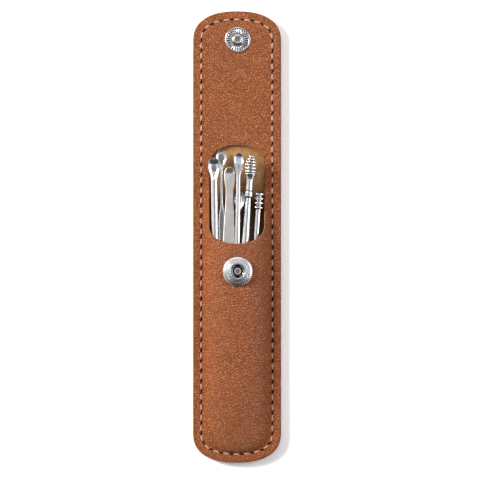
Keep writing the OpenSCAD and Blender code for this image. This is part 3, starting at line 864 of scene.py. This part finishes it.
def long_spoon(material):
    """A shallow bowl on a thin neck that widens into a flat handle."""
    length = pick_frame("long_spoon")[2]
    table = [
        [0.0, 0.4, 0.32, -0.14, 6, 2.0, 0.2, 0.0],
        [0.8, 0.4, 0.32, 0.25, 6, 2.0, 0.3, 0.26],
        [2.2, 0.4, 0.32, 0.5, 6, 2.0, 0.34, 0.4],
        [4.2, 0.4, 0.3, 0.54, 6, 2.0, 0.36, 0.4],
        [6.0, 0.45, 0.2, 0.56, 4, 2.0, 0.5, 0.35],
        [8.0, 0.58, 0.0, 0.58, 2.0, 2.0, 0.6, 0.0],
        [12, 0.6, 0.0, 0.6, 2.0, 2.0, 0.6, 0.0],
    ]
    handle = [[0, 1.2, 1], [17, 1.2, 1], [21.5, 1.3, 0.92], [25.5, 2.3, 0.45], [28, 2.5, 0.4],
              [60, 2.3, 0.42], [length, 1.8, 0.5]]
    rows = spoon_rows(length, 8.0, 4.4, 1.15, 0.36, table, handle)
    lofted_pick("long_spoon_pick", "long_spoon", rows, material)


def spatula(material):
    """A flat sheet with a waist, and a scoop pressed into its rounded tip."""
    length = pick_frame("spatula")[2]
    outline = np.array([
        [0, 0.0], [0.1, 0.75], [0.35, 1.2], [0.8, 1.62], [1.4, 1.9], [2.2, 2.06], [3.4, 2.12], [5, 2.06],
        [7, 1.76], [9, 1.47], [12, 1.47], [17, 1.75], [24, 2.1], [30, 2.3], [36, 2.3],
        [length - 25, 1.8], [length - 10, 1.6], [length - 0.7, 1.45], [length, 0.8],
    ])
    half_t, scoop_len, scoop_d, scoop_w = 0.5, 2.4, 0.72, 0.86
    near = np.concatenate([[0.01, 0.04, 0.1, 0.2, 0.33], np.arange(0.5, 5, 0.15), np.arange(5, 40, 0.8)])
    places = np.concatenate([near, np.arange(40.5, length - 1, 2), length - np.array([0.9, 0.5, 0.2, 0.0])])
    rows = []
    for y in places:
        half_w = smooth_curve(np.array([y]), outline[:, 0], outline[:, 1])[0]
        scoop = scoop_d * max(0, min(1, (y - 0.25) / 2)) * (y < scoop_len)
        rows.append([y, max(half_w, 0.02), half_t, 0, half_t, 9, 9, half_w * scoop_w, scoop])
    piece = lofted_pick("spatula_pick", "spatula", rows, material, 30)
    count = len(piece.data.vertices) // len(rows)
    on_top = np.arange(count) < count / 2 + 1
    inner = on_top & (np.abs(np.cos(2 * np.pi * np.arange(count) / count)) < scoop_w)
    # Painted shade inside the scoop.
    store(piece, "painted_recess_shade", np.outer((places > 0.35) & (places < scoop_len), 0.62 * inner).ravel())


def ball_recess_shade(r, y):
    """Painted shade between the fins and in the two grooves of the collar."""
    fin_r = np.interp(y, [0, 0.36, 1.3, 2.34, 3.5, 6.7], [0.9, 1.0, 1.62, 2.1, 2.36, 2.4])
    fins = (y < 6.7) * (r < 0.9 * fin_r)
    grooves = (np.abs(y - 13.69) < 0.14) + (np.abs(y - 16.25) < 0.18)
    return np.clip(0.75 * fins * (y > 0.3) + 0.9 * grooves, 0, 1)


def ribbed_ball(material):
    """Tip to end: a small cap, six fins, a cup, a neck, a collar and a tapered handle."""
    length = pick_frame("ribbed_ball_pick")[2]
    ball = 2.42
    profile = [[0.001, 0.0], [0.75, 0.03], [1.0, 0.14], [1.05, 0.36], [0.98, 0.58], [0.68, 0.72]]
    for share, at in ((0.7, 1.3), (0.88, 2.34), (0.98, 3.5), (1.0, 4.78), (0.97, 6.03)):
        fin, core = ball * share, 0.62 * ball * share
        profile += [[core, at - 0.36], [fin - 0.12, at - 0.27], [fin, at - 0.17], [fin, at + 0.17],
                    [fin - 0.12, at + 0.27], [core, at + 0.36]]
    profile += [
        [1.5, 6.62], [2.2, 6.75], [2.28, 6.98], [2.05, 7.4], [1.65, 8.15], [1.38, 9.1], [1.32, 11.0],
        [1.38, 13.3],
        [1.34, 13.52], [1.05, 13.58], [1.05, 13.8], [1.42, 13.88], [1.52, 14.2], [1.52, 15.7], [1.36, 15.98],
        [0.98, 16.1], [0.96, 16.4], [1.02, 17.2], [1.55, 33.5], [1.55, 44], [1.2, length - 44],
        [1.0, length - 1.2],
        [0.8, length - 0.4], [0.4, length - 0.05], [0.001, length],
    ]
    turned_pick("ribbed_ball", "ribbed_ball_pick", profile, material, 0.06, ball_recess_shade)


def ringed_recess_shade(r, y):
    """A little painted shade in the waists between the rings."""
    return 0.55 * (y > 0.5) * (y < 6.5) * np.clip((1.45 - r) / 0.2, 0, 1)


def ringed(material):
    """Four flared rings with hollow waists between them, on a plain shaft."""
    length = pick_frame("ringed_pick")[2]
    shaft, ring = 1.17, 1.95
    profile = [[0.001, 0.0], [1.45, 0.01], [1.85, 0.06]]
    for at in (0.32, 2.05, 3.82, 5.58):
        if at > 1:
            profile += [[1.2, at - 0.66], [1.35, at - 0.48], [1.8, at - 0.33]]
        profile += [[ring, at - 0.22], [ring, at + 0.22], [1.8, at + 0.33], [1.35, at + 0.48],
                    [1.2, at + 0.64]]
    profile += [
        [1.2, 6.3], [shaft, 6.5], [shaft, length - 1.2], [1.0, length - 0.5], [0.6, length - 0.1],
        [0.001, length],
    ]
    turned_pick("ringed", "ringed_pick", profile, material, 0.08, ringed_recess_shade)


# ---- materials ----


def new_material(name):
    """A material with only a Principled shader and its output."""
    material = bpy.data.materials.new(name)
    material.use_nodes = True
    tree = material.node_tree
    tree.nodes.clear()
    shader = tree.nodes.new("ShaderNodeBsdfPrincipled")
    output = tree.nodes.new("ShaderNodeOutputMaterial")
    tree.links.new(shader.outputs["BSDF"], output.inputs["Surface"])
    return material, tree, shader


def set_inputs(tree, node, inputs):
    """Sets a node's inputs to values, or links them to outputs."""
    for key, value in inputs.items():
        if isinstance(value, bpy.types.NodeSocket):
            tree.links.new(value, node.inputs[key])
        else:
            node.inputs[key].default_value = value


def put(tree, kind, inputs=None, **settings):
    """A new node with its settings and inputs."""
    node = tree.nodes.new(kind)
    for key, value in settings.items():
        setattr(node, key, value)
    set_inputs(tree, node, inputs or {})
    return node


def ramp(tree, value, stops):
    """A colour or grey ramp from [place, colour or grey] stops."""
    node = put(tree, "ShaderNodeValToRGB", {"Fac": value})
    points = node.color_ramp.elements
    while len(points) < len(stops):
        points.new(0.5)
    for point, (place, colour) in zip(points, stops):
        point.position = place
        point.color = (*colour, 1) if hasattr(colour, "__len__") else (colour, colour, colour, 1)
    return node.outputs["Color"]


def blend_colours(tree, share, first, second, kind="MIX"):
    """Mixes two colours, each a value or an output."""
    first, second = ((*colour, 1) if isinstance(colour, tuple) else colour for colour in (first, second))
    inputs = {0: share, 6: first, 7: second}
    return put(tree, "ShaderNodeMix", inputs, data_type="RGBA", blend_type=kind).outputs[2]


def weighted_sum(tree, *terms):
    """The sum of outputs, each times its weight."""
    total = 0.0
    for value, weight in terms:
        inputs = {0: value, 1: weight, 2: total}
        total = put(tree, "ShaderNodeMath", inputs, operation="MULTIPLY_ADD").outputs[0]
    return total


def attribute(tree, name, output="Fac"):
    """What store() or store_rest() kept under a name, or 0 where nothing was kept."""
    return put(tree, "ShaderNodeAttribute", attribute_name=name).outputs[output]


def noise(tree, place, scale, detail=2.0, rough=0.5):
    """A noise node."""
    settings = {"Vector": place, "Scale": scale, "Detail": detail, "Roughness": rough}
    return put(tree, "ShaderNodeTexNoise", settings)


def warped(tree, place, scale, amount):
    """The place moved about by a noise, so that a pattern isn't regular."""
    push = noise(tree, place, scale).outputs["Color"]
    half = (0.5, 0.5, 0.5)
    centred = put(tree, "ShaderNodeVectorMath", {0: push, 1: half}, operation="SUBTRACT").outputs[0]
    scaled = put(tree, "ShaderNodeVectorMath", {0: centred, "Scale": amount}, operation="SCALE").outputs[0]
    return put(tree, "ShaderNodeVectorMath", {0: place, 1: scaled}, operation="ADD").outputs[0]


def leather_material(name, dark, light):
    """Pebbled leather: rounded grains with creases between them, and pale specks about 1 mm apart, painted
    highlights on the grain.
    """
    material, tree, shader = new_material(name)
    place = attribute(tree, "rest_place", "Vector")
    bent = warped(tree, place, 1.1, 0.9)
    cells = put(tree, "ShaderNodeTexVoronoi", {"Vector": bent, "Scale": 1.25}, feature="DISTANCE_TO_EDGE")
    pebbles = ramp(tree, cells.outputs["Distance"], [(0.0, 0.0), (0.12, 0.6), (0.36, 1.0)])
    fine = noise(tree, place, 6.5, 3.0, 0.6).outputs["Fac"]
    broad = noise(tree, place, 0.12, 2.0).outputs["Fac"]
    patches = noise(tree, bent, 0.9, 3.0, 0.6).outputs["Fac"]
    height = weighted_sum(tree, (pebbles, 0.6), (patches, 0.7), (fine, 0.3))
    bump = put(tree, "ShaderNodeBump", {"Height": height, "Strength": 1.0, "Distance": GRAIN_BUMP_M})
    tone = weighted_sum(tree, (pebbles, 0.35), (patches, 0.5), (broad, 0.25))
    colour = ramp(tree, tone, [(0.3, dark), (0.85, light)])
    # Painted highlights: pale specks mixed into the leather's colour.
    glint_specks = put(tree, "ShaderNodeTexVoronoi", {"Vector": warped(tree, place, 2.0, 0.5), "Scale": 1.2})
    glint_specks = ramp(tree, glint_specks.outputs["Distance"], [(0.1, 0.62), (0.33, 0.0)])
    colour = blend_colours(tree, glint_specks, colour, GLINT_SPECK_COLOUR)
    # Darker along the cut edge: the pressed edge's tone with painted shade.
    edge_darkening = weighted_sum(tree, (attribute(tree, "edge_wear_and_shade"), 0.75))
    colour = blend_colours(tree, edge_darkening, colour, tuple(0.42 * c for c in dark))
    # Painted shade in the needle holes.
    colour = blend_colours(tree, attribute(tree, "hole"), colour, (0.02, 0.008, 0.005))
    gloss = weighted_sum(tree, (patches, 1.0), (pebbles, -0.2))
    rough = ramp(tree, gloss, [(0.15, 0.28), (0.7, 0.44)])
    set_inputs(tree, shader, {"Base Color": colour, "Roughness": rough, "Normal": bump.outputs["Normal"],
                              "Specular IOR Level": 0.36})
    return material


def fibre_material(name, dark, light, scale, bump_m, rough=0.9, sheen=0.0):
    """Cut leather, suede, cloth or thread: a fibrous matt surface."""
    material, tree, shader = new_material(name)
    place = attribute(tree, "rest_place", "Vector")
    fibres = noise(tree, place, scale, 4.0, 0.65).outputs["Fac"]
    clouds = noise(tree, place, scale * 0.12, 2.0).outputs["Fac"]
    tone = weighted_sum(tree, (fibres, 0.7), (clouds, 0.3))
    colour = ramp(tree, tone, [(0.35, dark), (0.65, light)])
    # Painted shade on the lining deep in the pocket.
    colour = blend_colours(tree, attribute(tree, "pocket"), colour, tuple(0.3 * c for c in dark))
    bump = put(tree, "ShaderNodeBump", {"Height": fibres, "Strength": 0.6, "Distance": bump_m})
    set_inputs(tree, shader, {"Base Color": colour, "Roughness": rough, "Normal": bump.outputs["Normal"],
                              "Sheen Weight": sheen})
    return material


def steel_material(name, tone, rough_low, rough_high, scratch_m, stretch=(3000, 120, 3000)):
    """Steel or nickel with fine polishing marks, slightly uneven gloss and painted shade in the crevices."""
    material, tree, shader = new_material(name)
    place = put(tree, "ShaderNodeTexCoord").outputs["Object"]
    drawn = put(tree, "ShaderNodeMapping", {"Vector": place, "Scale": stretch}).outputs["Vector"]
    marks = noise(tree, drawn, 1.0, 2.0).outputs["Fac"]
    stains = noise(tree, place, 350.0, 3.0).outputs["Fac"]
    rough = ramp(tree, stains, [(0.3, rough_low), (0.7, rough_high)])
    colour = ramp(tree, stains, [(0.3, tuple(0.93 * c for c in tone)), (0.7, tone)])
    # Painted shade: the recesses are darkened by each piece's stored shade.
    colour = blend_colours(tree, attribute(tree, "painted_recess_shade"), colour, (0.045, 0.032, 0.026))
    bump = put(tree, "ShaderNodeBump", {"Height": marks, "Strength": 0.3, "Distance": scratch_m})
    set_inputs(tree, shader, {"Base Color": colour, "Roughness": rough, "Normal": bump.outputs["Normal"],
                              "Metallic": 1.0})
    return material


def floor_material():
    """Plain white paper."""
    material, tree, shader = new_material("floor_paper")
    place = put(tree, "ShaderNodeTexCoord").outputs["Object"]
    grain = noise(tree, place, 900.0, 2.0).outputs["Fac"]
    colour = ramp(tree, grain, [(0.3, (0.93, 0.93, 0.94)), (0.7, (0.96, 0.96, 0.965))])
    set_inputs(tree, shader, {"Base Color": colour, "Roughness": 0.8, "Specular IOR Level": 0.2})
    return material


# ---- studio ----


def studio_world():
    """A bright room, darker straight overhead, at the horizon and towards the near side."""
    world = bpy.data.worlds.new("studio")
    bpy.context.scene.world = world
    world.use_nodes = True
    tree = world.node_tree
    tree.nodes.clear()
    way = put(tree, "ShaderNodeTexCoord").outputs["Generated"]
    parts = put(tree, "ShaderNodeSeparateXYZ", {0: way}).outputs
    overhead = ramp(tree, parts["Z"], [(0.0, 0.6), (0.35, 1.0), (0.93, 1.0), (0.985, 0.42), (1.0, 0.25)])
    near = ramp(tree, weighted_sum(tree, (parts["Y"], -1.0)), [(0.25, 1.0), (0.6, 0.1)])
    colour = blend_colours(tree, 1.0, overhead, near, "MULTIPLY")
    back = put(tree, "ShaderNodeBackground", {"Color": colour, "Strength": WORLD_STRENGTH})
    output = tree.nodes.new("ShaderNodeOutputWorld")
    tree.links.new(back.outputs[0], output.inputs["Surface"])


def soft_light(name, place_m, size_m, power, colour=(1, 1, 1)):
    """A rectangular light that points at the middle of the case."""
    data = bpy.data.lights.new(name, "AREA")
    data.shape = "RECTANGLE"
    data.size, data.size_y = size_m
    data.energy = power
    data.color = colour
    light = bpy.data.objects.new(name, data)
    bpy.context.scene.collection.objects.link(light)
    light.location = place_m
    light.rotation_euler = (-Vector(place_m)).to_track_quat("-Z", "Y").to_euler()


def studio_floor():
    """The surface that the case lies on."""
    half = 3000
    corners = [(-half, -half, 0), (half, -half, 0), (half, half, 0), (-half, half, 0)]
    floor = add_mesh("floor", corners, [(0, 1, 2, 3)], [floor_material()], 30)
    floor.location.z = -0.05 * MM


def studio_camera():
    """Straight above the case, with the whole of it in view."""
    height_m, view_m = 0.7, 0.191
    data = bpy.data.cameras.new("camera")
    data.sensor_width = 36
    data.lens = data.sensor_width * height_m / view_m
    camera = bpy.data.objects.new("camera", data)
    bpy.context.scene.collection.objects.link(camera)
    camera.location = (0.0011, -0.0024, height_m)
    bpy.context.scene.camera = camera
    bpy.context.scene.view_settings.view_transform = "Standard"


# ---- the whole ----

LEATHER = leather_material("tan_leather", (0.155, 0.036, 0.004), (0.34, 0.09, 0.013))
SUEDE = fibre_material("leather_flesh_side", (0.16, 0.08, 0.035), (0.26, 0.14, 0.07), 6.0, 0.0001)
CUT_EDGE = fibre_material("cut_leather_edge", (0.62, 0.42, 0.2), (0.86, 0.66, 0.4), 5.0, 0.00008)
WINDOW_EDGE = fibre_material("window_leather_edge", (0.2, 0.075, 0.03), (0.34, 0.15, 0.07), 5.0, 0.00008)
CLOTH = fibre_material("golden_microfibre", (0.09, 0.038, 0.009), (0.42, 0.225, 0.07), 2.6, 0.00012,
                       0.95, 0.25)
THREAD = fibre_material("waxed_thread", (0.36, 0.17, 0.1), (0.6, 0.33, 0.23), 6.0, 0.00005, 0.55)
STEEL = steel_material("polished_steel", (0.86, 0.86, 0.87), 0.1, 0.17, 0.000004)
SPATULA_STEEL = steel_material("matt_steel", (0.7, 0.68, 0.66), 0.4, 0.48, 0.00002)
NICKEL = steel_material("nickel_plate", (0.64, 0.64, 0.65), 0.16, 0.3, 0.00001, (900, 900, 900))

front_leather([LEATHER, SUEDE, CUT_EDGE, WINDOW_EDGE])
back_leather([LEATHER, SUEDE, CUT_EDGE])
lining_cloth(CLOTH)
thread("top_thread", lambda dive: FACE_Z - 0.13 - dive, ["pouch_top_thread", "flap_top_thread"], THREAD)
thread("bobbin_thread", lambda dive: THREAD_R * 0.95 + dive,
       ["pouch_bobbin_thread", "flap_bobbin_thread"], THREAD)
snap_stud(NICKEL)
snap_socket(NICKEL)
for kept in ("socket_spring", "socket_post", "stud_post"):
    NODES[kept].data.materials.clear()
    NODES[kept].data.materials.append(NICKEL)
wide_spoon(STEEL)
long_spoon(STEEL)
spatula(SPATULA_STEEL)
small_spoon(STEEL)
ribbed_ball(STEEL)
ringed(STEEL)
short_spoon(STEEL)

studio_world()
soft_light("key", (-0.85, 0.4, 0.5), (0.35, 0.35), 21.0, (1.0, 0.98, 0.96))
soft_light("top_fill", (-0.1, 0.9, 0.6), (0.8, 0.4), 2.0)
soft_light("right_fill", (0.8, 0.1, 0.45), (0.9, 0.35), 4.5, (0.95, 0.88, 1.0))
studio_floor()
studio_camera()
